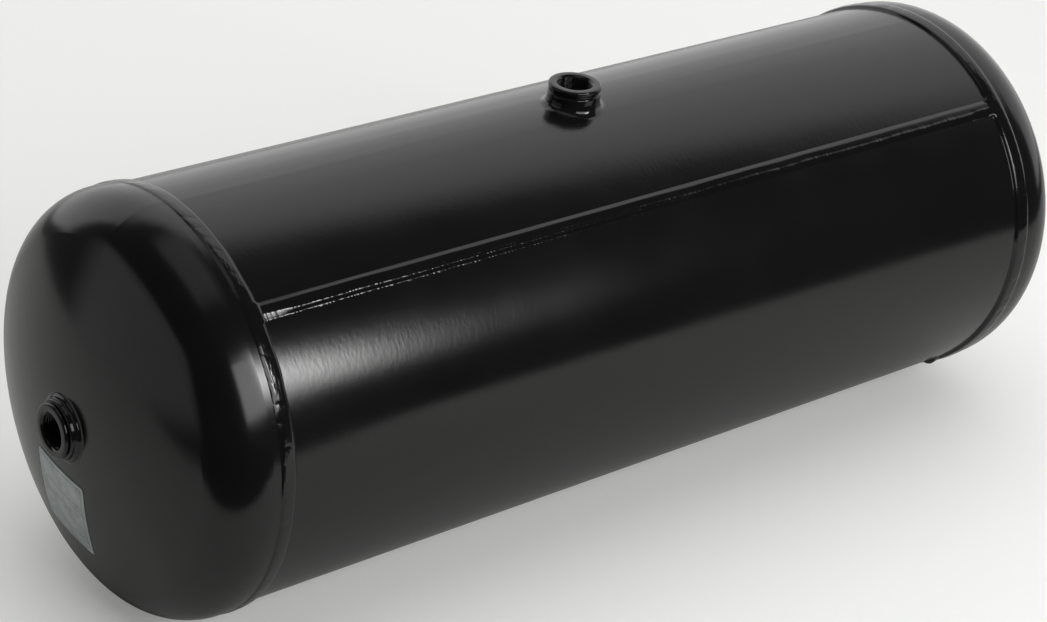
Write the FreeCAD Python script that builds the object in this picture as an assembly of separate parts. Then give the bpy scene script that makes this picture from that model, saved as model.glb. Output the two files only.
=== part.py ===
import FreeCAD, Part
import math
import os

"""Horizontal compressed-air pressure tank of welded steel sheet.

The origin is the middle of the tank, on its axis. +X runs along the tank, from the end
that carries the data plate to the plain end. +Z is up, through the port in the shell,
and the long seam is on the -Y side. All sizes are in millimetres and degrees.
"""

# ---- Driving dimensions ------------------------------------------------------------

# rolled shell
SHELL_DIAMETER = 246.0          # outside of the rolled sheet
SHELL_WALL = 2.0
SHELL_EXPOSED_LENGTH = 568.0    # between the toes of the two girth welds

# pressed heads, whose skirts lap over the ends of the shell
HEAD_WALL = 1.8
HEAD_CROWN_RADIUS = 250.0       # outside radius of the shallow dome
HEAD_KNUCKLE_RADIUS = 35.0      # outside radius of the shoulder
SKIRT_BARE_LENGTH = 4.0         # straight skirt left bare beside the weld
SKIRT_SEAT_CLEARANCE = 0.0      # the skirt is pressed tight over the shell

# girth welds, which run over each skirt's edge and down to the shell
GIRTH_WELD_WIDTH = 11.0         # toe to toe
GIRTH_WELD_TOE_TO_SKIRT = 5.0   # from the toe on the shell to the skirt's hidden edge
GIRTH_WELD_CROWN = 0.6          # above the skirt's edge

# long seam of the rolled sheet: a butt weld with a raised cap
SEAM_ANGLE_FROM_TOP = 41.0      # towards -Y
SEAM_CAP_WIDTH = 11.0
SEAM_CAP_HEIGHT = 1.2
SEAM_ROOT_WIDTH = 2.4
SEAM_ROOT_DROP = 0.6            # below the inside of the sheet

# turned port bosses, each with a collar, a neck and a body
BOSS_DIAMETER = 32.0
BOSS_LENGTH = 22.0
BOSS_BORE_RADIUS = 10.2         # tapping size of an M22 x 1.5 thread
BOSS_MOUTH_CHAMFER = 1.3
BOSS_COLLAR_LENGTH = 3.2
BOSS_NECK_LENGTH = 1.4
BOSS_NECK_DEPTH = 1.0
BOSS_RIM_ROUND = 0.7
END_PORT_RISE = 7.4             # from the top of the dome to the boss's face
TOP_PORT_RISE = 13.7            # from the top of the shell to the boss's face
TOP_PORT_OFFSET = -6.0          # along the tank, from its middle

# fillet weld round each boss
END_WELD_LEG = 5.0              # out along the sheet
END_WELD_HEIGHT = 2.6           # up the boss
TOP_WELD_LEG = 4.6
TOP_WELD_HEIGHT = 5.6
PORT_WELD_CROWN = 0.7           # bulge of the weld's face

# data plate: thin foil bonded to the dome
PLATE_WIDTH = 48.5
PLATE_HEIGHT = 48.5
PLATE_THICKNESS = 0.3
PLATE_CORNER_RADIUS = 2.0
PLATE_ASIDE = 7.0               # centre, from the axis towards +Y
PLATE_BELOW_AXIS = 53.5         # centre, below the axis
PLATE_TURN = 3.3                # about +X

# ---- Values worked out from them -----------------------------------------------------

SHELL_RADIUS = SHELL_DIAMETER / 2
SKIRT_INNER_RADIUS = SHELL_RADIUS + SKIRT_SEAT_CLEARANCE
HEAD_RADIUS = SKIRT_INNER_RADIUS + HEAD_WALL
TOE_X = SHELL_EXPOSED_LENGTH / 2
SKIRT_EDGE_X = TOE_X + GIRTH_WELD_TOE_TO_SKIRT
UPPER_TOE_X = TOE_X + GIRTH_WELD_WIDTH
KNUCKLE_START_X = UPPER_TOE_X + SKIRT_BARE_LENGTH
BOSS_RADIUS = BOSS_DIAMETER / 2

CENTRE = FreeCAD.Vector(0, 0, 0)
X_AXIS = FreeCAD.Vector(1, 0, 0)
Z_AXIS = FreeCAD.Vector(0, 0, 1)
FULL_TURN = 360


# ---- Helpers -----------------------------------------------------------------------------

def point(along, out):
    """Return a point of a half-section: along an axis, and out from it."""
    return FreeCAD.Vector(along, 0, out)


def line(start, end):
    """Return a straight edge."""
    return Part.makeLine(start, end)


def arc(start, middle, end):
    """Return a circular edge through three points."""
    return Part.Arc(start, middle, end).toShape()


def spun(edges):
    """Return the solid swept by a closed half-section turned about the X axis."""
    face = Part.Face(Part.Wire(edges))
    return face.revolve(CENTRE, X_AXIS, FULL_TURN)


def mirrored(shape):
    """Return the shape's twin at the other end of the tank."""
    return shape.mirror(CENTRE, X_AXIS)


def set_up(shape, place, direction):
    """Return a shape made along +X, turned along direction and moved to place."""
    placed = shape.copy()
    placed.Placement = FreeCAD.Placement(place, FreeCAD.Rotation(X_AXIS, direction))
    return placed


# ---- Heads --------------------------------------------------------------------------------

def head_skin(radius, knuckle, crown):
    """Return the outline of one skin of a head: its skirt's end, knuckle and crown.

    The crown's arc is centred on the tank's axis, and the knuckle's arc is tangent to
    both the crown and the skirt.
    """
    knuckle_centre = radius - knuckle
    lean = math.asin(knuckle_centre / (crown - knuckle))
    crown_centre_x = KNUCKLE_START_X - (crown - knuckle) * math.cos(lean)

    def on_knuckle(angle):
        along = KNUCKLE_START_X + knuckle * math.cos(angle)
        return point(along, knuckle_centre + knuckle * math.sin(angle))

    def on_crown(angle):
        return point(crown_centre_x + crown * math.cos(angle), crown * math.sin(angle))

    upright = math.pi / 2
    return {
        "start": on_knuckle(upright),
        "knuckle_middle": on_knuckle((upright + lean) / 2),
        "join": on_knuckle(lean),
        "crown_middle": on_crown(lean / 2),
        "top": on_crown(0),
        "crown_centre_x": crown_centre_x,
    }


OUTER_SKIN = head_skin(HEAD_RADIUS, HEAD_KNUCKLE_RADIUS, HEAD_CROWN_RADIUS)
INNER_SKIN = head_skin(
    SKIRT_INNER_RADIUS,
    HEAD_KNUCKLE_RADIUS - HEAD_WALL,
    HEAD_CROWN_RADIUS - HEAD_WALL,
)
CROWN_X = OUTER_SKIN["top"].x
END_PORT_FACE_X = CROWN_X + END_PORT_RISE


def make_head():
    """Return the +X head, before its port is cut."""
    outer = OUTER_SKIN
    inner = INNER_SKIN
    edge_outer = point(SKIRT_EDGE_X, HEAD_RADIUS)
    edge_inner = point(SKIRT_EDGE_X, SKIRT_INNER_RADIUS)
    return spun([
        line(edge_outer, outer["start"]),
        arc(outer["start"], outer["knuckle_middle"], outer["join"]),
        arc(outer["join"], outer["crown_middle"], outer["top"]),
        line(outer["top"], inner["top"]),
        arc(inner["top"], inner["crown_middle"], inner["join"]),
        arc(inner["join"], inner["knuckle_middle"], inner["start"]),
        line(inner["start"], edge_inner),
        line(edge_inner, edge_outer),
    ])


def make_girth_weld():
    """Return the +X girth weld, from its toe on the shell to its toe on the skirt."""
    shell_toe = point(TOE_X, SHELL_RADIUS)
    crown = point(SKIRT_EDGE_X, HEAD_RADIUS + GIRTH_WELD_CROWN)
    skirt_toe = point(UPPER_TOE_X, HEAD_RADIUS)
    skirt_corner = point(SKIRT_EDGE_X, HEAD_RADIUS)
    root = point(SKIRT_EDGE_X, SHELL_RADIUS)
    return spun([
        arc(shell_toe, crown, skirt_toe),
        line(skirt_toe, skirt_corner),
        line(skirt_corner, root),
        line(root, shell_toe),
    ])


# ---- Shell --------------------------------------------------------------------------------

def make_rolled_sheet():
    """Return the shell before its seam and port are cut. Its ends run under the skirts."""
    length = 2 * KNUCKLE_START_X
    start = FreeCAD.Vector(-KNUCKLE_START_X, 0, 0)
    outside = Part.makeCylinder(SHELL_RADIUS, length, start, X_AXIS)
    inside = Part.makeCylinder(SHELL_RADIUS - SHELL_WALL, length, start, X_AXIS)
    return outside.cut(inside)


def make_long_seam():
    """Return the long seam weld, which fills the sheet and runs from toe to toe."""
    half_cap = SEAM_CAP_WIDTH / 2
    half_root = SEAM_ROOT_WIDTH / 2
    edge_height = math.sqrt(SHELL_RADIUS ** 2 - half_cap ** 2)
    root_height = SHELL_RADIUS - SHELL_WALL - SEAM_ROOT_DROP

    def corner(aside, height):
        return FreeCAD.Vector(-TOE_X, aside, height)

    section = Part.Face(Part.Wire([
        arc(corner(half_cap, edge_height), corner(0, SHELL_RADIUS + SEAM_CAP_HEIGHT),
            corner(-half_cap, edge_height)),
        line(corner(-half_cap, edge_height), corner(-half_root, root_height)),
        line(corner(-half_root, root_height), corner(half_root, root_height)),
        line(corner(half_root, root_height), corner(half_cap, edge_height)),
    ]))
    bead = section.extrude(FreeCAD.Vector(SHELL_EXPOSED_LENGTH, 0, 0))
    bead.rotate(CENTRE, X_AXIS, SEAM_ANGLE_FROM_TOP)
    return bead


# ---- Ports --------------------------------------------------------------------------------

def make_boss():
    """Return a boss along X, with its face at x = 0 and the rest of it towards -X."""
    neck_radius = BOSS_RADIUS - BOSS_NECK_DEPTH
    collar_end = -BOSS_COLLAR_LENGTH
    neck_end = collar_end - BOSS_NECK_LENGTH
    mouth_radius = BOSS_BORE_RADIUS + BOSS_MOUTH_CHAMFER
    rounding = BOSS_RIM_ROUND
    inset = rounding * (1 - math.sqrt(0.5))
    top_round = arc(
        point(0, BOSS_RADIUS - rounding),
        point(-inset, BOSS_RADIUS - inset),
        point(-rounding, BOSS_RADIUS),
    )
    shoulder_round = arc(
        point(neck_end, BOSS_RADIUS - rounding),
        point(neck_end - inset, BOSS_RADIUS - inset),
        point(neck_end - rounding, BOSS_RADIUS),
    )
    return spun([
        line(point(-BOSS_MOUTH_CHAMFER, BOSS_BORE_RADIUS), point(0, mouth_radius)),
        line(point(0, mouth_radius), point(0, BOSS_RADIUS - rounding)),
        top_round,
        line(point(-rounding, BOSS_RADIUS), point(collar_end, BOSS_RADIUS)),
        line(point(collar_end, BOSS_RADIUS), point(collar_end, neck_radius)),
        line(point(collar_end, neck_radius), point(neck_end, neck_radius)),
        line(point(neck_end, neck_radius), point(neck_end, BOSS_RADIUS - rounding)),
        shoulder_round,
        line(point(neck_end - rounding, BOSS_RADIUS), point(-BOSS_LENGTH, BOSS_RADIUS)),
        line(point(-BOSS_LENGTH, BOSS_RADIUS), point(-BOSS_LENGTH, BOSS_BORE_RADIUS)),
        line(point(-BOSS_LENGTH, BOSS_BORE_RADIUS), point(-BOSS_MOUTH_CHAMFER, BOSS_BORE_RADIUS)),
    ])


def make_port_weld(leg, height):
    """Return a fillet weld round a boss along X, standing on the plane x = 0.

    It runs on below that plane by its own leg, so that the curved sheet can trim it.
    """
    top = point(height, BOSS_RADIUS)
    toe = point(0, BOSS_RADIUS + leg)
    face_length = math.hypot(leg, height)
    bulge = point(
        height / 2 + PORT_WELD_CROWN * leg / face_length,
        BOSS_RADIUS + leg / 2 + PORT_WELD_CROWN * height / face_length,
    )
    return spun([
        arc(top, bulge, toe),
        line(toe, point(-leg, BOSS_RADIUS + leg)),
        line(point(-leg, BOSS_RADIUS + leg), point(-leg, BOSS_RADIUS)),
        line(point(-leg, BOSS_RADIUS), top),
    ])


def make_port_hole(depth):
    """Return the cutter for a boss's hole, from the tank's axis out along X."""
    return Part.makeCylinder(BOSS_RADIUS, depth, CENTRE, X_AXIS)


# ---- Data plate -----------------------------------------------------------------------------

def make_data_plate():
    """Return the plate: a thin sheet that follows the dome of the -X head."""
    dome_centre = FreeCAD.Vector(-OUTER_SKIN["crown_centre_x"], 0, 0)
    dome = Part.makeSphere(HEAD_CROWN_RADIUS, dome_centre)
    face = Part.makeSphere(HEAD_CROWN_RADIUS + PLATE_THICKNESS, dome_centre)
    depth = HEAD_CROWN_RADIUS / 2
    corner = FreeCAD.Vector(0, -PLATE_WIDTH / 2, -PLATE_HEIGHT / 2)
    block = Part.makeBox(depth, PLATE_WIDTH, PLATE_HEIGHT, corner)
    corners = [edge for edge in block.Edges if edge.BoundBox.XLength > depth / 2]
    block = block.makeFillet(PLATE_CORNER_RADIUS, corners)
    block.rotate(CENTRE, X_AXIS, PLATE_TURN)
    block.translate(FreeCAD.Vector(-CROWN_X - depth / 2, PLATE_ASIDE, -PLATE_BELOW_AXIS))
    return face.common(block).cut(dome)


# ---- Assembly -------------------------------------------------------------------------------

def make_shell_parts():
    """Return the shell, its long seam, and the port in its top."""
    seam = make_long_seam()
    axis_at_port = FreeCAD.Vector(TOP_PORT_OFFSET, 0, 0)
    shell_top = FreeCAD.Vector(TOP_PORT_OFFSET, 0, SHELL_RADIUS)
    boss_face = FreeCAD.Vector(TOP_PORT_OFFSET, 0, SHELL_RADIUS + TOP_PORT_RISE)
    hole = set_up(make_port_hole(boss_face.z), axis_at_port, Z_AXIS)
    start = FreeCAD.Vector(-TOE_X, 0, 0)
    full_shell = Part.makeCylinder(SHELL_RADIUS, SHELL_EXPOSED_LENGTH, start, X_AXIS)
    weld = set_up(make_port_weld(TOP_WELD_LEG, TOP_WELD_HEIGHT), shell_top, Z_AXIS)
    return {
        "shell": make_rolled_sheet().cut(seam).cut(hole),
        "long_seam_weld": seam,
        "top_port_boss": set_up(make_boss(), boss_face, Z_AXIS),
        "top_port_weld": weld.cut(full_shell),
    }


def make_end_parts():
    """Return the +X head, its girth weld, and the port in its crown."""
    dome_centre = FreeCAD.Vector(OUTER_SKIN["crown_centre_x"], 0, 0)
    dome = Part.makeSphere(HEAD_CROWN_RADIUS, dome_centre)
    weld = set_up(make_port_weld(END_WELD_LEG, END_WELD_HEIGHT), OUTER_SKIN["top"], X_AXIS)
    return {
        "head": make_head().cut(make_port_hole(END_PORT_FACE_X)),
        "girth_weld": make_girth_weld(),
        "port_boss": set_up(make_boss(), point(END_PORT_FACE_X, 0), X_AXIS),
        "port_weld": weld.cut(dome),
    }


def build():
    """Return every sub-part by its name."""
    parts = make_shell_parts()
    for name, shape in make_end_parts().items():
        parts["plain_end_" + name] = shape
        parts["plate_end_" + name] = mirrored(shape)
    parts["data_plate"] = make_data_plate()
    return parts


os.makedirs("parts", exist_ok=True)
for node, shape in build().items():
    shape.exportStep("parts/" + node + ".step")
    print(node, len(shape.Solids), "solid", round(shape.Volume / 1000, 2), "cm3")
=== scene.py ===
"""Looks of a horizontal compressed-air pressure tank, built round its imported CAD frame.

The rolled shell, the two pressed heads and the data plate keep their CAD meshes and get
their finishes. The welds and the three port bosses are built again here, with the ripples
and the threads that the CAD leaves out. Every length is in metres, in the frame of the
CAD: +X runs along the tank, from the end with the data plate to the plain end, and +Z is
up, through the port in the shell.
"""

import logging
import math
from dataclasses import dataclass
from enum import Enum
from typing import Callable, Sequence

import bmesh
import bpy
from mathutils import Matrix, Vector, noise


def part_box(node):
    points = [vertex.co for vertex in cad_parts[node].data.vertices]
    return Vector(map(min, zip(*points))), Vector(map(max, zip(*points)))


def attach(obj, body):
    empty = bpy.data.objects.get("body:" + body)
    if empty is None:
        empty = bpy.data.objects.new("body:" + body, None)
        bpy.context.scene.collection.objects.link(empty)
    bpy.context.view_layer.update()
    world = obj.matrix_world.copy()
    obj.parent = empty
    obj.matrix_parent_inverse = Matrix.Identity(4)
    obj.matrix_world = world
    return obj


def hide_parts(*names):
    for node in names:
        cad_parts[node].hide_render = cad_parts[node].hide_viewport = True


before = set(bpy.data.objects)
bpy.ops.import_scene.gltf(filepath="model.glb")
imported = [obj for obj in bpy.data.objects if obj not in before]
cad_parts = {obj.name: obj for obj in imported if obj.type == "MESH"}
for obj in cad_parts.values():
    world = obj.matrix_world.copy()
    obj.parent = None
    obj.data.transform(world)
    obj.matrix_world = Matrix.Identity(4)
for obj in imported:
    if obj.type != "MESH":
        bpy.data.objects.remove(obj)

LOG = logging.getLogger("pressure_tank")
MM = 0.001
MERGE = 0.001 * MM
SHARP_ANGLE = math.radians(50)
BODY = "root"

BMesh = bmesh.types.BMesh
Material = bpy.types.Material
Object = bpy.types.Object
Socket = bpy.types.NodeSocket
Tree = bpy.types.NodeTree
Colour = tuple[float, float, float, float]
Line = tuple[tuple[float, float], ...]
Section = tuple[list[tuple[float, float]], list[float]]
Place = Callable[[Vector], Vector]


# ---- Small helpers -------------------------------------------------------------------


def linear(code: str) -> Colour:
    """Turn an sRGB hex colour into the linear colour that a shader takes.

    Args:
        code: Six hex digits after a hash.

    Returns:
        Red, green, blue and a full alpha.
    """
    channels = [int(code[place : place + 2], 16) / 255 for place in (1, 3, 5)]
    red, green, blue = (
        c / 12.92 if c <= 0.04045 else ((c + 0.055) / 1.055) ** 2.4 for c in channels
    )
    return red, green, blue, 1.0


def add_node(
    tree: Tree,
    kind: str,
    settings: dict[str | int, object] | None = None,
    links: dict[str | int, Socket] | None = None,
) -> bpy.types.Node:
    """Add a node, give it its settings and link its inputs.

    Args:
        tree: The material's node tree.
        kind: The node's type name.
        settings: Input names or numbers, or node properties, with their values.
        links: Input names or numbers with the sockets that feed them.

    Returns:
        The new node.
    """
    node = tree.nodes.new(kind)
    for key, value in (settings or {}).items():
        if isinstance(key, int) or key in node.inputs:
            node.inputs[key].default_value = value
        else:
            setattr(node, key, value)
    feed(tree, node, links or {})
    return node


def feed(tree: Tree, node: bpy.types.Node, links: dict[str | int, Socket]) -> None:
    """Link a node's inputs.

    Args:
        tree: The node tree that holds the node.
        node: The node that takes the links.
        links: Input names or numbers with the sockets that feed them.
    """
    for key, socket in links.items():
        tree.links.new(socket, node.inputs[key])


def maths(tree: Tree, operation: str, *values: Socket | float) -> Socket:
    """Add a maths node.

    Args:
        tree: The material's node tree.
        operation: What the node works out.
        values: Its inputs in order, each a socket or a number.

    Returns:
        The socket with the result.
    """
    numbers = {place: value for place, value in enumerate(values) if isinstance(value, float)}
    sockets = {place: value for place, value in enumerate(values) if place not in numbers}
    settings = {"operation": operation, **numbers}
    return add_node(tree, "ShaderNodeMath", settings, sockets).outputs[0]


def ranged(
    tree: Tree,
    value: Socket,
    span: tuple[float, float],
    result: tuple[float, float] = (0.0, 1.0),
    smooth: bool = False,
) -> Socket:
    """Map a span of values to a range that is held at its two ends.

    Args:
        tree: The material's node tree.
        value: The value to map.
        span: The values at the range's two ends.
        result: What they are mapped to.
        smooth: Whether the way between them starts and stops gently.

    Returns:
        The socket with the mapped value.
    """
    settings = {
        "interpolation_type": "SMOOTHSTEP" if smooth else "LINEAR",
        "From Min": span[0],
        "From Max": span[1],
        "To Min": result[0],
        "To Max": result[1],
    }
    return add_node(tree, "ShaderNodeMapRange", settings, {"Value": value}).outputs["Result"]


def cloud(tree: Tree, place: Socket, size: float, detail: float, roughness: float = 0.5) -> Socket:
    """Add a soft, cloudy pattern.

    Args:
        tree: The material's node tree.
        place: Where the pattern is read.
        size: Width of a cloud, in the units of the place.
        detail: How many finer patterns lie on it.
        roughness: How strong the finer ones are.

    Returns:
        The socket with the pattern, from 0 to 1.
    """
    settings = {"Scale": 1 / size, "Detail": detail, "Roughness": roughness}
    return add_node(tree, "ShaderNodeTexNoise", settings, {"Vector": place}).outputs["Fac"]


def blend(tree: Tree, share: Socket, first: Colour | Socket, second: Colour) -> Socket:
    """Blend two colours.

    Args:
        tree: The material's node tree.
        share: How much of the second colour shows, from 0 to 1.
        first: A colour, or the socket that gives it.
        second: The other colour.

    Returns:
        The socket with the blend.
    """
    first_input, second_input, colour_output = 6, 7, 2
    settings: dict[str | int, object] = {"data_type": "RGBA", second_input: second}
    links: dict[str | int, Socket] = {"Factor": share}
    if isinstance(first, tuple):
        settings[first_input] = first
    else:
        links[first_input] = first
    return add_node(tree, "ShaderNodeMix", settings, links).outputs[colour_output]


def relief(tree: Tree, height: Socket, depth: float, under: Socket | None = None) -> Socket:
    """Add a bump to a surface.

    Args:
        tree: The material's node tree.
        height: The bump's pattern, from 0 to 1.
        depth: What 1 stands for.
        under: The bump that this one lies on.

    Returns:
        The socket with the bumped normal.
    """
    links = {"Height": height} if under is None else {"Height": height, "Normal": under}
    settings = {"Strength": 1.0, "Distance": depth}
    return add_node(tree, "ShaderNodeBump", settings, links).outputs["Normal"]


def start_material(name: str) -> tuple[Material, Tree, bpy.types.Node, Socket]:
    """Start a material.

    Args:
        name: The material's name.

    Returns:
        The material, its node tree, its shader and the socket with the place on the object.
    """
    material = bpy.data.materials.new(name)
    material.use_nodes = True
    tree = material.node_tree
    place = add_node(tree, "ShaderNodeTexCoord").outputs["Object"]
    return material, tree, tree.nodes["Principled BSDF"], place


def smooth_step(value: float, low: float, high: float) -> float:
    """Return 0 below low, 1 above high, and a smooth rise between them.

    Args:
        value: The number to place between the two.
        low: Where the rise starts.
        high: Where the rise ends.

    Returns:
        A number from 0 to 1.
    """
    share = min(max((value - low) / (high - low), 0.0), 1.0)
    return share * share * (3 - 2 * share)


def smooth_line(keys: Sequence[tuple[float, float]], place: float) -> float:
    """Read a smooth line through given points, which never overshoots them.

    Args:
        keys: Places in rising order, each with the line's value there.
        place: Where to read it.

    Returns:
        The value at that place.
    """
    slopes = [
        (after[1] - before[1]) / (after[0] - before[0])
        for before, after in zip(keys, keys[1:])
    ]
    count = len(slopes)
    part = next((n for n in range(count) if place <= keys[n + 1][0]), count - 1)
    (low, start), (high, stop) = keys[part], keys[part + 1]
    length = high - low
    tangents = []
    for corner in (part, part + 1):
        left = slopes[max(corner - 1, 0)]
        right = slopes[min(corner, count - 1)]
        joint = 2 * left * right / (left + right) if left * right > 0 else 0.0
        tangents.append(joint * length)
    share = min(max((place - low) / length, 0.0), 1.0)
    return (
        start * (1 + 2 * share) * (1 - share) ** 2
        + tangents[0] * share * (1 - share) ** 2
        + stop * share**2 * (3 - 2 * share)
        + tangents[1] * share**2 * (share - 1)
    )


def wander(along: float, step: float, seed: float) -> float:
    """Return a slow, repeatable wobble between about -1 and 1.

    Args:
        along: Distance along the bead.
        step: Distance over which the wobble changes.
        seed: A number that sets this wobble apart from the others.

    Returns:
        The wobble at that distance.
    """
    return 2 * noise.noise(Vector((along / step, seed, 7.3 * seed)))


# ---- Finishes -----------------------------------------------------------------------


class Surface(Enum):
    """How the steel under the enamel was made, which the gloss coat still shows."""

    ROLLED = "rolled sheet"
    PRESSED = "pressed dome"
    WELDED = "weld bead"
    TURNED = "turned bar"


@dataclass(frozen=True)
class GlossEnamel:
    """Black gloss stoving enamel, sprayed on steel and baked.

    To the eye it is almost black, with clear reflections whose edges are soft, because the
    coat levels out over the sheet but keeps a slight orange peel.
    """

    name: str
    surface: Surface
    shade: str = "#0b0b0b"
    dusty_shade: str = "#131413"
    roughness: float = 0.17
    haze: float = 0.05
    ior: float = 1.5
    swell_size: float = 45 * MM
    swell_height: float = 0.06 * MM
    film_size: float = 60 * MM

    def grain(self) -> tuple[tuple[float, float, float], float]:
        """Return the grain's repeat along X, Y and Z, and its height, in metres."""
        return {
            Surface.ROLLED: ((2.2 * MM, 4.5 * MM, 4.5 * MM), 0.032 * MM),
            Surface.PRESSED: ((5.0 * MM, 5.0 * MM, 5.0 * MM), 0.008 * MM),
            Surface.WELDED: ((1.6 * MM, 1.6 * MM, 1.6 * MM), 0.03 * MM),
            Surface.TURNED: ((1.4 * MM, 1.4 * MM, 1.4 * MM), 0.006 * MM),
        }[self.surface]

    def make(self) -> Material:
        """Build the enamel.

        Returns:
            The material.
        """
        material, tree, shader, place = start_material(self.name)
        shader.inputs["IOR"].default_value = self.ior
        repeat, height = self.grain()
        scale = {"Scale": [1 / length for length in repeat]}
        stretched = add_node(tree, "ShaderNodeMapping", scale, {"Vector": place})
        grain = cloud(tree, stretched.outputs["Vector"], 1.0, 2.0)
        swell = cloud(tree, place, self.swell_size, 1.0, 0.4)
        film = cloud(tree, place, self.film_size, 5.0, 0.6)
        colour = blend(tree, film, linear(self.shade), linear(self.dusty_shade))
        least, most = self.roughness - self.haze / 2, self.roughness + self.haze / 2
        gloss = ranged(tree, film, (0.3, 0.75), (least, most))
        peel = relief(tree, grain, height, relief(tree, swell, self.swell_height))
        feed(tree, shader, {"Base Color": colour, "Roughness": gloss, "Normal": peel})
        return material


@dataclass(frozen=True)
class FoilPlate:
    """Anodised aluminium foil, satin, bonded to the dome and left blank.

    To the eye it is pale grey-blue and hardly shines. A fine frame and a few ruled fields
    are pressed in it, with nothing written in them.
    """

    name: str
    centre: tuple[float, float, float]
    size: float
    turn: float
    shade: str = "#c2c8c8"
    worn_shade: str = "#969e9f"
    line_shade: str = "#59636a"
    line_strength: float = 0.45
    metallic: float = 0.75
    roughness: float = 0.42
    cloud_size: float = 9 * MM
    cloud_height: float = 0.02 * MM
    frame_place: float = 0.44
    half_line: float = 0.008
    line_pitch: float = 0.16
    field_reach: float = 0.36
    field_top: float = 0.3

    def make(self) -> Material:
        """Build the foil.

        Returns:
            The material.
        """
        material, tree, shader, place = start_material(self.name)
        shader.inputs["Metallic"].default_value = self.metallic
        flat = add_node(
            tree,
            "ShaderNodeMapping",
            {
                "vector_type": "TEXTURE",
                "Location": self.centre,
                "Rotation": (self.turn, 0.0, 0.0),
                "Scale": (self.size, self.size, self.size),
            },
            {"Vector": place},
        ).outputs["Vector"]
        parts = add_node(tree, "ShaderNodeSeparateXYZ", {}, {"Vector": flat}).outputs
        lines = self.ruled_fields(tree, parts["Y"], parts["Z"])
        clouds = cloud(tree, place, self.cloud_size, 6.0, 0.65)
        worn = ranged(tree, clouds, (0.4, 0.8))
        ground = blend(tree, worn, linear(self.shade), linear(self.worn_shade))
        colour = blend(tree, lines, ground, linear(self.line_shade))
        gloss = ranged(tree, clouds, (0.0, 1.0), (self.roughness - 0.08, self.roughness + 0.12))
        dents = relief(tree, clouds, self.cloud_height)
        feed(tree, shader, {"Base Color": colour, "Roughness": gloss, "Normal": dents})
        return material

    def ruled_fields(self, tree: Tree, across: Socket, upward: Socket) -> Socket:
        """Draw the frame and the ruled fields, which hold nothing.

        Args:
            tree: The material's node tree.
            across: Place across the plate, from -0.5 to 0.5.
            upward: Place up the plate, from -0.5 to 0.5.

        Returns:
            A socket that is the line's strength on a line and 0 elsewhere.
        """
        sides = [maths(tree, "ABSOLUTE", place) for place in (across, upward)]
        rung = maths(tree, "PINGPONG", upward, self.line_pitch / 2)
        lines = maths(tree, "LESS_THAN", rung, 0.7 * self.half_line)
        for place, reach in ((sides[0], self.field_reach), (upward, self.field_top)):
            lines = maths(tree, "MULTIPLY", lines, maths(tree, "LESS_THAN", place, reach))
        for place, other in (sides, sides[::-1]):
            near = maths(tree, "COMPARE", place, self.frame_place, self.half_line)
            within = maths(tree, "LESS_THAN", other, self.frame_place + self.half_line)
            lines = maths(tree, "MAXIMUM", lines, maths(tree, "MULTIPLY", near, within))
        return maths(tree, "MULTIPLY", lines, self.line_strength)


@dataclass(frozen=True)
class MattBoard:
    """White painted board, rolled on, which takes soft shadows and shows no gloss.

    Lit from below, it also glows a little. It is clear from behind, so that what stands on
    it can be looked at from below.
    """

    name: str
    shade: str = "#e9e9e7"
    glow: float = 0.0
    stipple_size: float = 4 * MM

    def make(self) -> Material:
        """Build the board.

        Returns:
            The material.
        """
        material, tree, shader, place = start_material(self.name)
        shader.inputs["Base Color"].default_value = linear(self.shade)
        shader.inputs["Specular IOR Level"].default_value = 0.0
        shader.inputs["Emission Color"].default_value = linear(self.shade)
        shader.inputs["Emission Strength"].default_value = self.glow
        stipple = cloud(tree, place, self.stipple_size, 2.0)
        feed(tree, shader, {"Roughness": ranged(tree, stipple, (0.0, 1.0), (0.85, 1.0))})
        behind = add_node(tree, "ShaderNodeNewGeometry").outputs["Backfacing"]
        clear = add_node(tree, "ShaderNodeBsdfTransparent").outputs["BSDF"]
        links = {"Fac": behind, 1: shader.outputs["BSDF"], 2: clear}
        seen = add_node(tree, "ShaderNodeMixShader", {}, links).outputs["Shader"]
        feed(tree, tree.nodes["Material Output"], {"Surface": seen})
        return material


# ---- Turning meshes into pieces ---------------------------------------------------------


def start_profile(points: Sequence[tuple[float, float]], lifts: Sequence[float]) -> BMesh:
    """Lay out a closed half-section in the XZ plane.

    Args:
        points: Place along X and distance from the X axis of each corner.
        lifts: For each corner, how far the bead's ripples move it, from 0 to 1.

    Returns:
        A mesh with the section's corners and edges, and the layers lift and out, which
        holds the distance from the axis.
    """
    bm = bmesh.new()
    lift_layer = bm.verts.layers.float.new("lift")
    out_layer = bm.verts.layers.float.new("out")
    corners = [bm.verts.new((x, 0.0, z)) for x, z in points]
    for corner, lift in zip(corners, lifts):
        corner[lift_layer] = lift
        corner[out_layer] = corner.co.z
    for corner, following in zip(corners, corners[1:] + corners[:1]):
        bm.edges.new((corner, following))
    return bm


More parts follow.
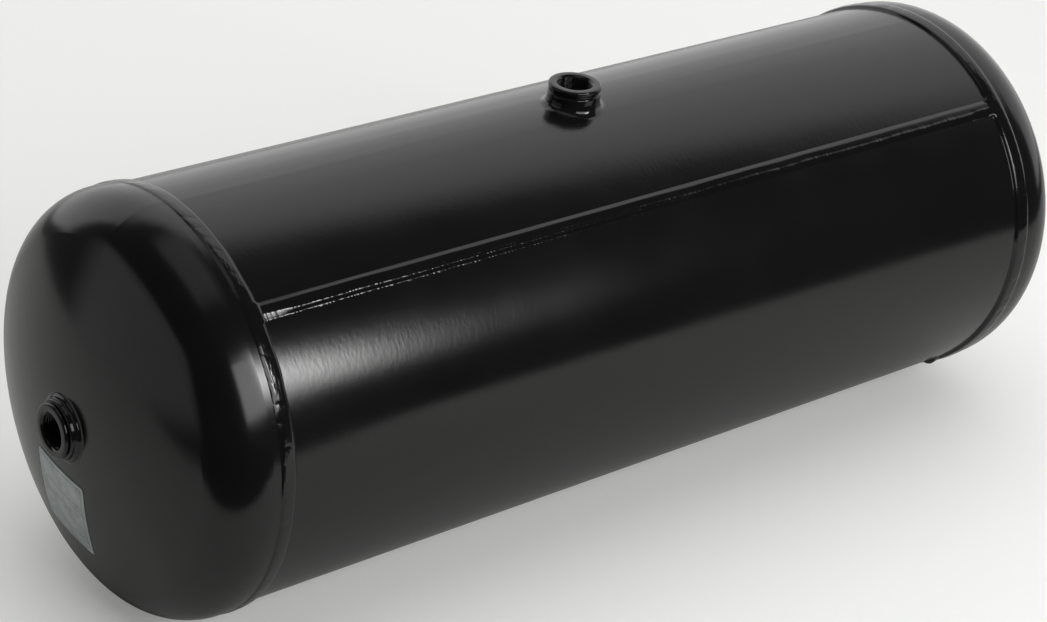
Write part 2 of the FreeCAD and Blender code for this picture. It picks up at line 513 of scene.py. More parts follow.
def spin_round(bm: BMesh, steps: int, cuts: int = 0) -> None:
    """Turn a section a full turn about the X axis.

    Args:
        bm: The mesh that holds the section.
        steps: How many steps make the turn.
        cuts: How many times each step is cut, so that a long bead is quick to make.
    """
    turn = {"cent": (0, 0, 0), "axis": (1, 0, 0), "angle": math.tau, "steps": steps}
    geometry = bm.verts[:] + bm.edges[:]
    bmesh.ops.spin(bm, geom=geometry, use_merge=True, use_duplicate=False, **turn)
    bmesh.ops.remove_doubles(bm, verts=bm.verts[:], dist=MERGE)
    if cuts:
        out = bm.verts.layers.float["out"]
        runs = [
            edge
            for edge in bm.edges
            if abs(edge.verts[0].co.x - edge.verts[1].co.x) < MERGE
            and abs(edge.verts[0][out] - edge.verts[1][out]) < MERGE
        ]
        bmesh.ops.subdivide_edges(bm, edges=runs, cuts=cuts, use_grid_fill=True)
    bmesh.ops.recalc_face_normals(bm, faces=bm.faces[:])


def add_object(name: str, bm: BMesh, material: Material) -> Object:
    """Turn a mesh into an object in the scene.

    Args:
        name: The object's name.
        bm: Its mesh, which is used up.
        material: Its finish.

    Returns:
        The object.
    """
    mesh = bpy.data.meshes.new(name)
    bm.to_mesh(mesh)
    bm.free()
    mesh.materials.append(material)
    new = bpy.data.objects.new(name, mesh)
    bpy.context.scene.collection.objects.link(new)
    return new


def make_piece(
    name: str, bm: BMesh, material: Material, stands_for: list[str]
) -> None:
    """Turn a mesh into a piece that rides on the tank.

    Args:
        name: The piece's name.
        bm: The finished mesh, which is used up.
        material: The piece's finish.
        stands_for: The CAD nodes that the piece replaces.
    """
    piece = add_object(name, bm, material)
    mesh = piece.data
    mesh.polygons.foreach_set("use_smooth", [True] * len(mesh.polygons))
    mesh.set_sharp_from_angle(angle=SHARP_ANGLE)
    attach(piece, BODY)
    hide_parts(*stands_for)
    LOG.info("%s: %d faces", name, len(mesh.polygons))


# ---- Welds ---------------------------------------------------------------------------


@dataclass(frozen=True)
class SeamPlace:
    """Where the long seam lies round the shell, and how wide its cap is."""

    angle: float = math.radians(41)
    half_width: float = 5.5 * MM
    corner_radius: float = 2.5 * MM


@dataclass(frozen=True)
class GirthWeld:
    """The weld that runs over a head's skirt and down to the shell.

    A short toe climbs from the shell, a long slope follows, the crest lies over the skirt,
    and a short flank drops to the head. The crest is lumpy, with a nick where each lump
    meets the next.
    """

    name: str
    end: int
    seed: float
    seam: SeamPlace
    toe: float
    shell_radius: float
    head_radius: float
    width: float = 11 * MM
    skirt_edge: float = 5 * MM
    face: Line = (
        (0.0, -0.04), (0.35, 0.14), (0.9, 0.80), (1.4, 1.36), (1.9, 1.70), (2.5, 1.86),
        (4.5, 2.14), (6.4, 2.32), (8.0, 2.38), (9.2, 2.30), (10.0, 2.08), (11.0, 1.66),
    )
    lump_length: float = 14 * MM
    lump_depth: float = 0.36 * MM
    lump_lean: float = 0.5
    lump_scatter: float = 0.55
    crest_limit: float = 2.52 * MM
    fine_depth: float = 0.035 * MM
    sag_depth: float = 0.07 * MM
    toe_depth: float = 0.22 * MM
    head_toe_depth: float = 0.2 * MM
    steps: int = 80
    cuts: int = 15

    def section(self) -> Section:
        """Lay out the bead's section, from its toe on the shell to its toe on the skirt.

        Returns:
            The corners as distance from the shell toe and radius, and their lifts.
        """
        count = 26
        outer: list[tuple[float, float]] = []
        lifts: list[float] = []
        for place in range(count + 1):
            along = self.width * place / count
            height = smooth_line(self.face, along / MM) * MM
            outer.append((along, self.shell_radius + height))
            lifts.append(smooth_step(along, 2 * MM, 6 * MM) * (1 - (place / count) ** 8))
        sunk = 0.15 * MM
        inner = [
            (self.width, self.head_radius - sunk),
            (self.skirt_edge, self.head_radius - sunk),
            (self.skirt_edge, self.shell_radius - sunk),
            (0.0, self.shell_radius - sunk),
        ]
        return outer + inner, lifts + [0.0] * len(inner)

    def build(self, material: Material) -> None:
        """Build the bead round the tank.

        Args:
            material: The enamel over the weld.
        """
        points, lifts = self.section()
        bm = start_profile(points, lifts)
        spin_round(bm, self.steps, self.cuts)
        lift, out = (bm.verts.layers.float[name] for name in ("lift", "out"))
        for vert in bm.verts:
            angle = math.atan2(-vert.co.y, vert.co.z)
            vert.co = self.settle(vert.co.x, vert[out], angle, vert[lift])
        bmesh.ops.recalc_face_normals(bm, faces=bm.faces[:])
        make_piece(self.name, bm, material, [self.name])

    def settle(self, along: float, radius: float, angle: float, lift: float) -> Vector:
        """Give a corner of the bead its lumps and move it to its end of the tank.

        Args:
            along: Distance from the shell toe.
            radius: Distance from the tank's axis.
            angle: Turn from the top, towards the seam's side.
            lift: How far the lumps move this corner, from 0 to 1.

        Returns:
            The corner's place on the tank.
        """
        run = angle * self.shell_radius
        across = along / self.width
        phase = run / self.lump_length + self.lump_scatter * wander(run, 31 * MM, self.seed)
        phase += self.lump_lean * across + 0.06 * wander(run + 2 * along, 4 * MM, self.seed + 1)
        nick = self.lump_depth * (1 - abs(math.sin(math.pi * phase)) ** 0.35)
        nick *= 0.35 + 0.65 * smooth_step(wander(run, 24 * MM, self.seed + 7), -0.5, 0.5)
        fine = self.fine_depth * wander(run, 3.1 * MM, self.seed + 3 + 2 * across)
        sag = self.sag_depth * wander(run, 11 * MM, self.seed + 5)
        limit = self.shell_radius + self.crest_limit
        if radius > self.shell_radius:
            radius = min(radius + lift * (fine + sag - nick), limit)
        side = abs(run - self.seam.angle * self.shell_radius) - self.seam.half_width
        reach = self.seam.corner_radius
        corner = 0.0
        if side < reach:
            gap = reach - max(side, 0.0)
            corner = reach - math.sqrt(max(reach**2 - gap**2, 0.0))
        toe_wander = self.toe_depth * (wander(run, 14 * MM, self.seed + 9) + 0.6)
        toe_share = (1 - across) ** 3
        moved = along - toe_share * (max(toe_wander, 0.0) + corner)
        moved += across**4 * self.head_toe_depth * wander(run, 15 * MM, self.seed + 12)
        x = self.end * (self.toe + moved)
        return Vector((x, -radius * math.sin(angle), radius * math.cos(angle)))


@dataclass(frozen=True)
class LongSeam:
    """The butt weld that closes the rolled sheet.

    Its cap rises smoothly from its upper toe to a flat, has its crest below its middle, and
    drops to a lower toe that is nicked by the ripples.
    """

    name: str
    seam: SeamPlace
    toe: float
    shell_radius: float
    shell_wall: float = 2 * MM
    face: Line = (
        (-5.9, -0.04), (-5.2, 0.20), (-4.2, 0.66), (-3.4, 0.98), (-2.7, 1.08),
        (0.2, 1.14), (1.2, 1.32), (1.9, 1.38), (2.5, 1.24), (3.2, 0.88), (4.3, 0.26),
        (4.8, 0.04), (5.8, -0.05),
    )
    root_half_width: float = 1.2 * MM
    ripple_pitch: float = 4.4 * MM
    ripple_height: float = 0.05 * MM
    lump_height: float = 0.09 * MM
    fine_height: float = 0.03 * MM
    sway: float = 0.3 * MM
    slump: float = 1.1 * MM
    toe_nick: float = 0.16 * MM
    run_on: float = 6.2 * MM
    steps: int = 20
    cuts: int = 63

    def section(self) -> Section:
        """Lay out the cap from its upper toe to its lower one, and the root under it.

        Returns:
            The corners as distance down the seam and radius, and their lifts.
        """
        start, stop = self.face[0][0] * MM, self.face[-1][0] * MM
        count = 30
        cap: list[tuple[float, float]] = []
        lifts: list[float] = []
        for place in range(count + 1):
            down = start + (stop - start) * place / count
            height = smooth_line(self.face, down / MM) * MM
            cap.append((down, self.shell_radius + height))
            lifts.append(smooth_step(down, -1.5 * MM, 2.5 * MM))
        root = self.shell_radius - self.shell_wall
        inner = [
            (stop - 0.4 * MM, self.shell_radius - 0.8 * MM),
            (self.root_half_width, root),
            (self.root_half_width / 2, root - 0.5 * MM),
            (-self.root_half_width / 2, root - 0.5 * MM),
            (-self.root_half_width, root),
            (start + 0.4 * MM, self.shell_radius - 0.8 * MM),
        ]
        return cap + inner, lifts + [0.0] * len(inner)

    def build(self, material: Material) -> None:
        """Build the seam along the shell.

        Args:
            material: The enamel over the weld.
        """
        points, lifts = self.section()
        bm = bmesh.new()
        layer = bm.verts.layers.float.new("lift")
        start = -self.toe - self.run_on
        corners = [bm.verts.new((start, down, radius)) for down, radius in points]
        for corner, lift in zip(corners, lifts):
            corner[layer] = lift
        bmesh.ops.spin(
            bm,
            geom=[bm.faces.new(corners)],
            axis=(1, 0, 0),
            dvec=(-2 * start / self.steps, 0, 0),
            angle=0,
            steps=self.steps,
        )
        runs = [edge for edge in bm.edges if abs(edge.verts[0].co.x - edge.verts[1].co.x) > MM]
        bmesh.ops.subdivide_edges(bm, edges=runs, cuts=self.cuts, use_grid_fill=True)
        for vert in bm.verts:
            vert.co = self.settle(vert.co, vert[layer])
        bmesh.ops.recalc_face_normals(bm, faces=bm.faces[:])
        make_piece(self.name, bm, material, [self.name])

    def settle(self, spot: Vector, lift: float) -> Vector:
        """Ripple a corner of the cap and turn it to its place round the shell.

        Args:
            spot: Place along the tank, down the seam and out from the axis.
            lift: How far the ripples move this corner, from 0 to 1.

        Returns:
            The corner's place on the tank.
        """
        run, down = spot.x, spot.y / self.seam.half_width
        phase = run / self.ripple_pitch - 0.5 * down**2 + 1.1 * wander(run, 9 * MM, 2.0)
        strength = 1 + 1.3 * wander(run, 8 * MM, 4.0)
        ripple = self.ripple_height * strength * abs(math.sin(math.pi * phase)) ** 0.5
        lump = self.lump_height * wander(run, 9 * MM, 5.0)
        lump += self.fine_height * wander(run, 3 * MM, 6.0)
        bead_end = abs(run) - self.toe
        radius = spot.z
        if radius > self.shell_radius:
            radius += lift * (ripple + lump - self.ripple_height)
        sway = self.sway * wander(run, 26 * MM, 8.0) * max(0.0, 1 - down**2)
        below_crest = smooth_step(down, -0.3, 0.3) * (1 - smooth_step(down, 0.4, 0.85))
        sway -= self.slump * below_crest * smooth_step(bead_end, -27 * MM, -6 * MM)
        edge = lift * self.toe_nick * abs(math.sin(math.pi * phase)) * max(down, 0.0) ** 2
        turn = self.seam.angle + (spot.y + sway + edge) / radius
        return Vector((run, -radius * math.sin(turn), radius * math.cos(turn)))


@dataclass(frozen=True)
class PortWeld:
    """The fillet weld round a port boss, smooth and with faint stop marks.

    Its face is a line of places, in millimetres above the sheet and out from the boss.
    """

    name: str
    place: Place
    drop: Callable[[float, float], float]
    seed: float
    face: Line
    boss_radius: float = 16 * MM
    ripple_count: int = 26
    ripple_height: float = 0.03 * MM
    lump_height: float = 0.1 * MM
    lump_reach: float = 0.2 * MM
    steps: int = 240

    def section(self) -> Section:
        """Lay out the bead's section, from its toe on the boss to its toe on the sheet.

        Returns:
            The corners as height above the sheet and radius, and their lifts.
        """
        count = 24
        heights = [(place, height) for place, (height, _) in enumerate(self.face)]
        outs = [(place, out) for place, (_, out) in enumerate(self.face)]
        points: list[tuple[float, float]] = []
        lifts: list[float] = []
        for place in range(count + 1):
            at = (len(self.face) - 1) * place / count
            height = smooth_line(heights, at) * MM
            points.append((height, self.boss_radius + smooth_line(outs, at) * MM))
            lifts.append(math.sin(math.pi * place / count) ** 0.6)
        sunk = 1.2 * MM
        points += [
            (-sunk, self.boss_radius + self.leg),
            (-sunk, self.boss_radius - 0.3 * MM),
            (points[0][0] - 0.3 * MM, self.boss_radius - 0.3 * MM),
        ]
        return points, lifts + [0.0, 0.0, 0.0]

    @property
    def leg(self) -> float:
        """Return how far the bead reaches out over the sheet."""
        return self.face[-1][1] * MM

    def build(self, material: Material) -> None:
        """Build the bead round the boss.

        Args:
            material: The enamel over the weld.
        """
        points, lifts = self.section()
        bm = start_profile(points, lifts)
        spin_round(bm, self.steps)
        layer = bm.verts.layers.float["lift"]
        for vert in bm.verts:
            vert.co = self.settle(vert.co, vert[layer])
        bmesh.ops.recalc_face_normals(bm, faces=bm.faces[:])
        make_piece(self.name, bm, material, [self.name])

    def settle(self, spot: Vector, lift: float) -> Vector:
        """Ripple a corner of the bead and lay it on the curved sheet.

        Args:
            spot: Height along the boss's axis, and place round it.
            lift: How far the ripples move this corner, from 0 to 1.

        Returns:
            The corner's place on the tank.
        """
        angle = math.atan2(spot.y, spot.z)
        radius = math.hypot(spot.y, spot.z)
        ring = Vector((math.cos(angle), math.sin(angle), self.seed))
        share = (radius - self.boss_radius) / self.leg
        wave = math.sin(self.ripple_count * angle + 2.2 * share**2)
        lump = self.lump_height * noise.noise(1.7 * ring)
        swell = lift * (self.ripple_height * wave + lump)
        grown = radius + lift * self.lump_reach * noise.noise(2.6 * ring + Vector((5, 0, 0)))
        side, up = grown * math.sin(angle), grown * math.cos(angle)
        follow = smooth_step(share, -0.05, 0.75)
        height = spot.x + swell + follow * self.drop(side, up)
        return self.place(Vector((height, side, up)))


@dataclass(frozen=True)
class WeldLump:
    """A lump left beside the plain end's girth weld where the bead was stopped."""

    name: str
    x: float
    angle: float
    shell_radius: float
    length: float = 11 * MM
    width: float = 9 * MM
    height: float = 2.7 * MM
    unevenness: float = 0.14

    def build(self, material: Material) -> None:
        """Build the lump on the shell.

        Args:
            material: The enamel over the weld.
        """
        bm = bmesh.new()
        bmesh.ops.create_icosphere(bm, subdivisions=4, radius=1.0)
        for vert in bm.verts:
            vert.co *= 1 + self.unevenness * noise.noise(1.6 * vert.co + Vector((3, 1, 4)))
        bmesh.ops.scale(
            bm, vec=(self.length / 2, self.width / 2, self.height), verts=bm.verts[:]
        )
        bmesh.ops.translate(bm, vec=(self.x, 0, self.shell_radius), verts=bm.verts[:])
        turn = Matrix.Rotation(self.angle, 4, "X")
        bmesh.ops.transform(bm, matrix=turn, verts=bm.verts[:])
        bmesh.ops.recalc_face_normals(bm, faces=bm.faces[:])
        make_piece(self.name, bm, material, [])


# ---- Port bosses ---------------------------------------------------------------------


@dataclass(frozen=True)
class PortBoss:
    """A turned steel boss with a collar, a neck, a body and a fine-pitch thread inside."""

    name: str
    place: Place
    radius: float = 16 * MM
    length: float = 22 * MM
    bore_radius: float = 10.2 * MM
    mouth_chamfer: float = 1.3 * MM
    collar_length: float = 3.2 * MM
    neck_length: float = 1.4 * MM
    neck_depth: float = 1.3 * MM
    rim_round: float = 1.3 * MM
    shoulder_round: float = 1.2 * MM
    pitch: float = 1.5 * MM
    thread_depth: float = 0.8 * MM
    steps: int = 128
    rows: int = 150

    def section(self) -> list[tuple[float, float]]:
        """Lay out the boss's section, from its mouth out and down to its inner end.

        Returns:
            The corners as distance from the face, towards the tank negative, and radius.
        """
        neck = self.radius - self.neck_depth
        neck_end = self.collar_length + self.neck_length
        mouth = self.bore_radius + self.mouth_chamfer
        return [
            (0.0, mouth),
            (0.0, self.radius),
            (-self.collar_length, self.radius),
            (-self.collar_length - 0.25 * MM, neck),
            (-neck_end, neck),
            (-neck_end, self.radius),
            (-self.length, self.radius),
            (-self.length, mouth),
            (-self.length + self.mouth_chamfer, self.bore_radius),
            (-self.mouth_chamfer, self.bore_radius),
        ]

    def build(self, material: Material) -> None:
        """Build the boss with its rims rounded and its thread cut.

        Args:
            material: The enamel over the boss.
        """
        points = self.section()
        bm = start_profile(points, [0.0] * len(points))
        spin_round(bm, self.steps)
        self.round_rims(bm)
        self.cut_thread(bm)
        for vert in bm.verts:
            vert.co = self.place(vert.co)
        bmesh.ops.recalc_face_normals(bm, faces=bm.faces[:])
        make_piece(self.name, bm, material, [self.name])

    def round_rims(self, bm: BMesh) -> None:
        """Round the turned rims, the outer ones more than the mouth and the neck.

        Args:
            bm: The spun boss.
        """

        def rings(radius: float, low: float, high: float) -> list[bmesh.types.BMEdge]:
            """Return the rim edges at a radius, between two distances from the face."""
            return [
                edge
                for edge in bm.edges
                if all(
                    abs(math.hypot(v.co.y, v.co.z) - radius) < 0.05 * MM
                    and low <= v.co.x <= high
                    for v in edge.verts
                )
                and abs(edge.verts[0].co.x - edge.verts[1].co.x) < 0.01 * MM
            ]

        neck_end = self.collar_length + self.neck_length
        slack = 0.3 * MM
        cuts = [
            (rings(self.radius, -slack, slack), self.rim_round, 6),
            (rings(self.radius, -self.collar_length - slack, -slack), 0.5 * MM, 4),
            (rings(self.radius, -neck_end - slack, -neck_end + slack), self.shoulder_round, 5),
            (
                rings(self.radius - self.neck_depth, -neck_end - slack, -self.collar_length),
                0.35 * MM,
                4,
            ),
            (rings(self.bore_radius + self.mouth_chamfer, -slack, slack), 0.25 * MM, 3),
        ]
        for edges, offset, segments in cuts:
            bmesh.ops.bevel(
                bm,
                geom=edges,
                offset=offset,
                segments=segments,
                profile=0.5,
                affect="EDGES",
                material=-1,
                clamp_overlap=True,
            )

    def cut_thread(self, bm: BMesh) -> None:
        """Divide the bore into fine rows and cut a right-hand thread outward from it.

        Args:
            bm: The boss with its rims rounded.
        """
        limit = self.bore_radius + 0.02 * MM
        bore = [
            edge
            for edge in bm.edges
            if all(math.hypot(v.co.y, v.co.z) < limit for v in edge.verts)
            and abs(edge.verts[0].co.x - edge.verts[1].co.x) > self.length / 2
        ]
        bmesh.ops.subdivide_edges(bm, edges=bore, cuts=self.rows, use_grid_fill=True)
        for vert in bm.verts:
            radius = math.hypot(vert.co.y, vert.co.z)
            if radius > limit:
                continue
            angle = math.atan2(vert.co.y, vert.co.z)
            turn = (vert.co.x / self.pitch + angle / math.tau) % 1.0
            flank = min(max(abs(2 * turn - 1) * 1.45 - 0.18, 0.0), 1.0)
            inside = -vert.co.x - self.mouth_chamfer
            left = self.length + vert.co.x - self.mouth_chamfer
            fade = smooth_step(min(inside, left), 0.0, 0.6 * self.pitch)
            scale = (radius + self.thread_depth * flank * fade) / radius
            vert.co.y *= scale
            vert.co.z *= scale


# ---- The tank ------------------------------------------------------------------------


@dataclass(frozen=True)
class PressureTank:
    """The whole tank: CAD pieces to dress, and welds and bosses to build."""

    shell_radius: float = 123 * MM
    head_radius: float = 124.8 * MM
    crown_radius: float = 250 * MM
    toe: float = 284 * MM
    end_weld_face: Line = (
        (4.5, -0.2), (4.35, 0.7), (3.95, 1.25), (3.3, 1.42), (2.6, 1.52), (2.1, 1.75),
        (1.9, 2.4), (1.45, 2.95), (0.95, 3.12), (0.45, 3.35), (0.15, 4.1), (-0.1, 5.2),
    )
    top_weld_face: Line = (
        (5.6, -0.1), (4.4, 0.12), (3.0, 0.35), (1.8, 0.70), (1.0, 1.30), (0.5, 2.20),
        (0.15, 3.40), (-0.05, 4.60),
    )
    end_collar_length: float = 2.3 * MM
    end_neck_length: float = 1.1 * MM
    end_rim_round: float = 1.6 * MM
    plate_size: float = 48.5 * MM
    plate_turn: float = math.radians(3.3)
    lump_x: float = 275.5 * MM
    lump_angle: float = math.radians(139)

    def dress(self, node: str, material: Material) -> None:
        """Give a CAD node its finish.

        Args:
            node: The node's name.
            material: The finish.
        """
        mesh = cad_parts[node].data
        if not mesh.materials:
            mesh.materials.append(material)
        for place in range(len(mesh.materials)):
            mesh.materials[place] = material
        LOG.info("%s keeps its shape, in %s", node, material.name)

    def build(self) -> None:
        """Build every piece and dress every CAD node that stays."""
        rolled = GlossEnamel("black_enamel_on_rolled_steel", Surface.ROLLED).make()
        pressed = GlossEnamel("black_enamel_on_pressed_steel", Surface.PRESSED).make()
        welded = GlossEnamel("black_enamel_on_weld", Surface.WELDED, roughness=0.11).make()
        name = "black_enamel_on_turned_steel"
        turned = GlossEnamel(name, Surface.TURNED, roughness=0.12).make()
        self.dress("shell", rolled)
        self.dress("plate_end_head", pressed)
        self.dress("plain_end_head", pressed)
        self.dress_plate()
        seam = SeamPlace()
        LongSeam("long_seam_weld", seam, self.toe, self.shell_radius).build(welded)
        ends = ((-1, "plate_end", 1.0), (1, "plain_end", 2.0))
        for end, side, seed in ends:
            name, radii = side + "_girth_weld", (self.shell_radius, self.head_radius)
            GirthWeld(name, end, seed, seam, self.toe, *radii).build(welded)
            self.build_end_port(end, side, seed, turned, welded)
        self.build_top_port(turned, welded)
        place = (self.lump_x, self.lump_angle, self.shell_radius)
        WeldLump("plain_end_weld_lump", *place).build(welded)

    def dress_plate(self) -> None:
        """Give the data plate its blank foil."""
        low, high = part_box("data_plate")
        centre = (low + high) / 2
        foil = FoilPlate(
            "satin_anodised_aluminium_foil",
            (centre.x, centre.y, centre.z),
            self.plate_size,
            self.plate_turn,
        )
        self.dress("data_plate", foil.make())

    def build_end_port(
        self, end: int, side: str, seed: float, turned: Material, welded: Material
    ) -> None:
        """Build the boss and the weld in the crown of one head.

        Args:
            end: 1 at the plain end and -1 at the plate end.
            side: The end's name.
            seed: Sets this end's weld apart from the other's.
            turned: The boss's finish.
            welded: The weld's finish.
        """
        low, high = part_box(side + "_port_boss")
        face = high.x if end > 0 else -low.x
        head_low, head_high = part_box(side + "_head")
        crown = self.crown_top(head_high.x if end > 0 else -head_low.x)

        def at_face(spot: Vector) -> Vector:
            """Place a corner measured from the boss's face."""
            return Vector((end * (face + spot.x), end * spot.y, spot.z))

        def on_dome(spot: Vector) -> Vector:
            """Place a corner measured from the top of the dome."""
            return Vector((end * (crown + spot.x), end * spot.y, spot.z))

        def dome_drop(across: float, upward: float) -> float:
            """Return how far the dome has fallen away, as a negative height."""
            out = across**2 + upward**2
            return math.sqrt(self.crown_radius**2 - out) - self.crown_radius

        PortBoss(
            side + "_port_boss",
            at_face,
            collar_length=self.end_collar_length,
            neck_length=self.end_neck_length,
            rim_round=self.end_rim_round,
        ).build(turned)
        name = side + "_port_weld"
        PortWeld(name, on_dome, dome_drop, seed, self.end_weld_face).build(welded)

    def crown_top(self, rim: float) -> float:
        """Return the top of the dome, from where its crown meets the port's hole.

        Args:
            rim: Place along X of the head's rim round its port.

        Returns:
            Place along X of the full dome's top.
        """
        hole = PortBoss.radius
        return rim + self.crown_radius - math.sqrt(self.crown_radius**2 - hole**2)

    def build_top_port(self, turned: Material, welded: Material) -> None:
        """Build the boss and the weld in the top of the shell.

        Args:
            turned: The boss's finish.
            welded: The weld's finish.
        """
        low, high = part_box("top_port_boss")
        middle = (low.x + high.x) / 2

        def at_face(spot: Vector) -> Vector:
            """Place a corner measured from the boss's face."""
            return Vector((middle + spot.z, spot.y, high.z + spot.x))

        def on_shell(spot: Vector) -> Vector:
            """Place a corner measured from the top of the shell."""
            return Vector((middle + spot.z, spot.y, self.shell_radius + spot.x))

        def shell_drop(across: float, along: float) -> float:
            """Return how far the shell has fallen away, as a negative height."""
            return math.sqrt(self.shell_radius**2 - across**2) - self.shell_radius

        PortBoss("top_port_boss", at_face).build(turned)
        PortWeld("top_port_weld", on_shell, shell_drop, 3.0, self.top_weld_face).build(welded)


# ---- Studio --------------------------------------------------------------------------


@dataclass(frozen=True)
class LightPanel:
    """A soft studio panel, which the enamel mirrors but the camera doesn't see."""

    name: str
    centre: tuple[float, float, float]
    target: tuple[float, float, float]
    width: float
    height: float
    radiance: float
    feather: float = 0.08
    fade: tuple[float, float] = (1.0, 1.001)
    mirrored: bool = True

    def build(self) -> None:
        """Hang the panel and turn it to face its target."""
        bm = bmesh.new()
        bmesh.ops.create_grid(bm, x_segments=2, y_segments=2, size=0.5)
        panel = add_object(self.name, bm, self.glow())
        facing = Vector(self.target) - Vector(self.centre)
        turn = facing.to_track_quat("Z", "Y").to_matrix().to_4x4()
        size = Matrix.Diagonal((self.width, self.height, 1.0, 1.0))
        panel.matrix_world = Matrix.Translation(self.centre) @ turn @ size
        panel.visible_camera = False
        panel.visible_glossy = self.mirrored
        panel.visible_shadow = False

    def glow(self) -> Material:
        """Make the panel's light: even, soft at the edges, and faded towards its top if asked.

        Returns:
            The material.
        """
        material, tree, shader, place = start_material(self.name + "_diffuser")
        tree.nodes.remove(shader)
        parts = add_node(tree, "ShaderNodeSeparateXYZ", {}, {"Vector": place}).outputs
        power = ranged(tree, parts["Y"], self.fade, (self.radiance, 0.0), smooth=True)
        for side in ("X", "Y"):
            out = maths(tree, "ABSOLUTE", parts[side])
            edge = ranged(tree, out, (0.5, 0.5 - self.feather), smooth=True)
            power = maths(tree, "MULTIPLY", power, edge)
        light = add_node(tree, "ShaderNodeEmission", {}, {"Strength": power}).outputs["Emission"]
        clear = add_node(tree, "ShaderNodeBsdfTransparent").outputs["BSDF"]
        both = add_node(tree, "ShaderNodeAddShader", {}, {0: light, 1: clear}).outputs["Shader"]
        feed(tree, tree.nodes["Material Output"], {"Surface": both})
        return material


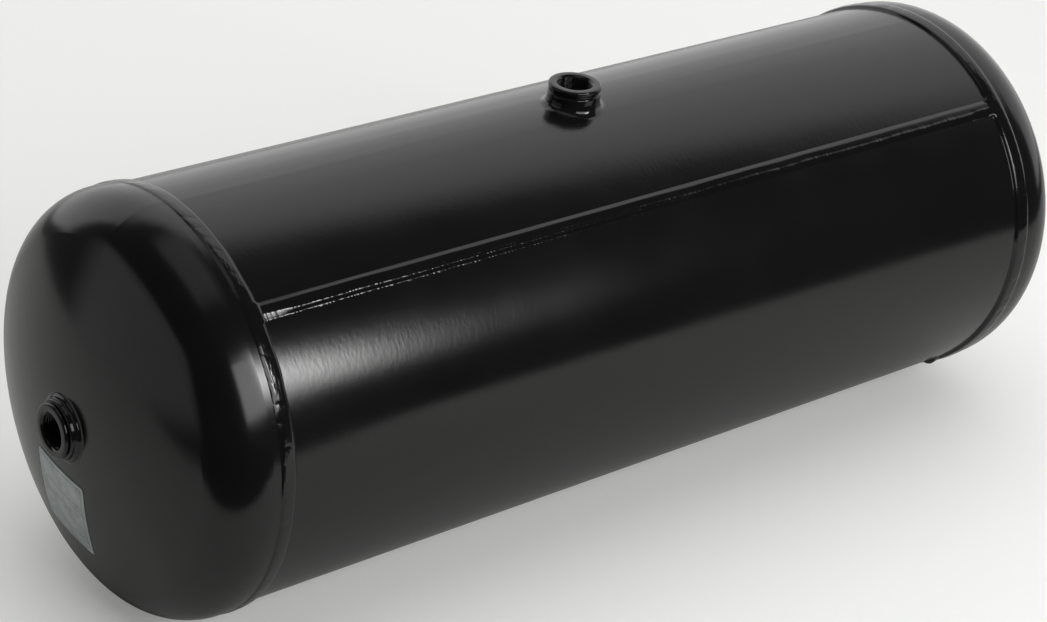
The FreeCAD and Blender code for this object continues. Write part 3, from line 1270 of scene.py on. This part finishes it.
@dataclass(frozen=True)
class Studio:
    """A pale table in a dim room, with soft panels round it, and the camera."""

    camera_place: tuple[float, float, float] = (-1.019408, -1.103618, 0.791118)
    heading: float = math.radians(48.025)
    pitch: float = math.radians(-28.480)
    roll: float = math.radians(6.441)
    lens: float = 93.78
    sensor: float = 36.0
    floor_height: float = -125.6 * MM
    table_depth: float = 0.3 * MM
    table_left: float = -1.10
    table_right: float = 1.05
    table_front: float = -0.50
    table_back: float = 1.20
    room_radius: float = 9.0
    room_radiance: float = 0.045

    def view_axes(self) -> tuple[Vector, Vector]:
        """Return the level directions to the camera's right and away from it."""
        away = Vector((math.cos(self.heading), math.sin(self.heading), 0))
        return Vector((away.y, -away.x, 0)), away

    def spot(self, right: float, away: float, height: float) -> tuple[float, float, float]:
        """Return a place given to the camera's right, away from it and above the axis.

        Args:
            right: Distance to the camera's right of the tank's middle.
            away: Distance beyond the tank's middle.
            height: Distance above the tank's axis.

        Returns:
            The place.
        """
        across, depth = self.view_axes()
        place = across * right + depth * away
        return place.x, place.y, height

    def build(self) -> None:
        """Set up the table, the panels, the room and the camera."""
        self.build_table()
        self.build_surroundings()
        for panel in self.panels():
            panel.build()
        self.build_room()
        self.build_camera()

    def panels(self) -> list[LightPanel]:
        """List the studio's panels.

        Returns:
            The backdrop, the key softbox with its lamp and spill, the side wall, the ceiling
            and the fill over the table.
        """
        near_head = (-0.27, -0.07, 0.10)
        behind, middle = self.spot(0.0, 1.2, 1.5), self.spot(0.0, 0.0, 1.5)
        key, key_aim = (-0.07, -1.33, 0.73), (-0.28, -0.10, 0.03)
        lamp, spill, spill_aim = (0.53, -1.36, 0.83), (0.66, -1.38, 0.68), (-0.20, -0.07, 0.10)
        wall, wall_aim = (-1.9, 0.7, 0.05), (-0.3, 0.0, 0.05)
        above, above_aim = (-0.3, 0.2, 2.4), (-0.3, 0.2, 0.0)
        over, over_aim = (0.0, 0.0, 2.3), (0.0, 0.0, 0.0)
        backdrop_fade = (0.05, 0.501)
        return [
            LightPanel("backdrop", behind, middle, 7.0, 3.3, 0.92, 0.03, backdrop_fade),
            LightPanel("key_softbox", key, key_aim, 1.10, 0.80, 3.2, 0.05),
            LightPanel("key_lamp", lamp, near_head, 0.34, 0.90, 19.0, 0.5),
            LightPanel("key_spill", spill, spill_aim, 0.70, 0.80, 0.9, 0.5),
            LightPanel("side_wall", wall, wall_aim, 2.2, 1.2, 0.38, 0.2),
            LightPanel("ceiling", above, above_aim, 2.4, 2.4, 0.38, 0.25),
            LightPanel("table_fill", over, over_aim, 3.0, 3.0, 1.0, mirrored=False),
        ]

    def build_table(self) -> None:
        """Lay the table that the tank rests on, square to the camera."""
        across, away = self.view_axes()
        bm = bmesh.new()
        bmesh.ops.create_grid(bm, x_segments=2, y_segments=2, size=0.5)
        width, depth = self.table_right - self.table_left, self.table_back - self.table_front
        size = Matrix.Diagonal((width, depth, 1.0, 1.0))
        turn = Matrix((across, away, Vector((0, 0, 1)))).transposed().to_4x4()
        middle = self.spot(
            (self.table_right + self.table_left) / 2,
            (self.table_back + self.table_front) / 2,
            self.floor_height - self.table_depth,
        )
        place = Matrix.Translation(middle) @ turn @ size
        bmesh.ops.transform(bm, matrix=place, verts=bm.verts[:])
        board = MattBoard("white_painted_board", shade="#d2d2d0")
        table = add_object("table", bm, board.make())
        table.visible_camera = False
        table.visible_shadow = False

    def build_surroundings(self) -> None:
        """Lay a pale floor just above the table, and close the room with a pale wall.

        Both are only seen directly, so that the enamel still mirrors a table in a dim room.
        """
        floor_bm, wall_bm = bmesh.new(), bmesh.new()
        bmesh.ops.create_circle(floor_bm, cap_ends=True, segments=96, radius=self.room_radius)
        bmesh.ops.translate(floor_bm, vec=(0, 0, self.floor_height), verts=floor_bm.verts[:])
        bmesh.ops.create_uvsphere(
            wall_bm, u_segments=48, v_segments=24, radius=self.room_radius
        )
        lit_board = MattBoard("backlit_white_board", glow=0.26).make()
        floor = add_object("floor", floor_bm, lit_board)
        wall = add_object("pale_room", wall_bm, self.wall_paint())
        for piece in (floor, wall):
            piece.visible_glossy = False
            piece.visible_diffuse = False
            piece.visible_shadow = False

    def wall_paint(self) -> Material:
        """Make the pale wall's even glow.

        Returns:
            The material.
        """
        material, tree, shader, _ = start_material("pale_wall_paint")
        tree.nodes.remove(shader)
        settings = {"Color": linear("#ececea"), "Strength": 1.0}
        light = add_node(tree, "ShaderNodeEmission", settings).outputs["Emission"]
        feed(tree, tree.nodes["Material Output"], {"Surface": light})
        return material

    def build_room(self) -> None:
        """Set the dim, even light of the room and plain colour management."""
        world = bpy.data.worlds.new("dim_room")
        world.use_nodes = True
        background = world.node_tree.nodes["Background"]
        background.inputs["Color"].default_value = (1.0, 1.0, 1.0, 1.0)
        background.inputs["Strength"].default_value = self.room_radiance
        scene = bpy.context.scene
        scene.world = world
        scene.view_settings.view_transform = "Standard"

    def build_camera(self) -> None:
        """Place the camera with its long lens, rolled a little about its own axis."""
        level, away = self.view_axes()
        forward = away * math.cos(self.pitch) + Vector((0, 0, math.sin(self.pitch)))
        right = level * math.cos(self.roll) + level.cross(forward) * math.sin(self.roll)
        back = -forward
        up = back.cross(right)
        turn = Matrix((right, up, back)).transposed().to_4x4()
        lens = bpy.data.cameras.new("camera")
        lens.lens = self.lens
        lens.sensor_width = self.sensor
        lens.clip_start = 0.05
        lens.clip_end = 50.0
        camera = bpy.data.objects.new("camera", lens)
        camera.matrix_world = Matrix.Translation(self.camera_place) @ turn
        bpy.context.scene.collection.objects.link(camera)
        bpy.context.scene.camera = camera


def clear_scene() -> None:
    """Remove the objects that a new file starts with."""
    for name in ("Cube", "Light", "Camera"):
        spare = bpy.data.objects.get(name)
        if spare is not None:
            bpy.data.objects.remove(spare)


def main() -> None:
    """Build the tank and the studio."""
    logging.basicConfig(level=logging.INFO, format="%(name)s: %(message)s")
    clear_scene()
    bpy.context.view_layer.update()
    PressureTank().build()
    Studio().build()
    bpy.context.view_layer.update()


if __name__ == "__main__":
    main()
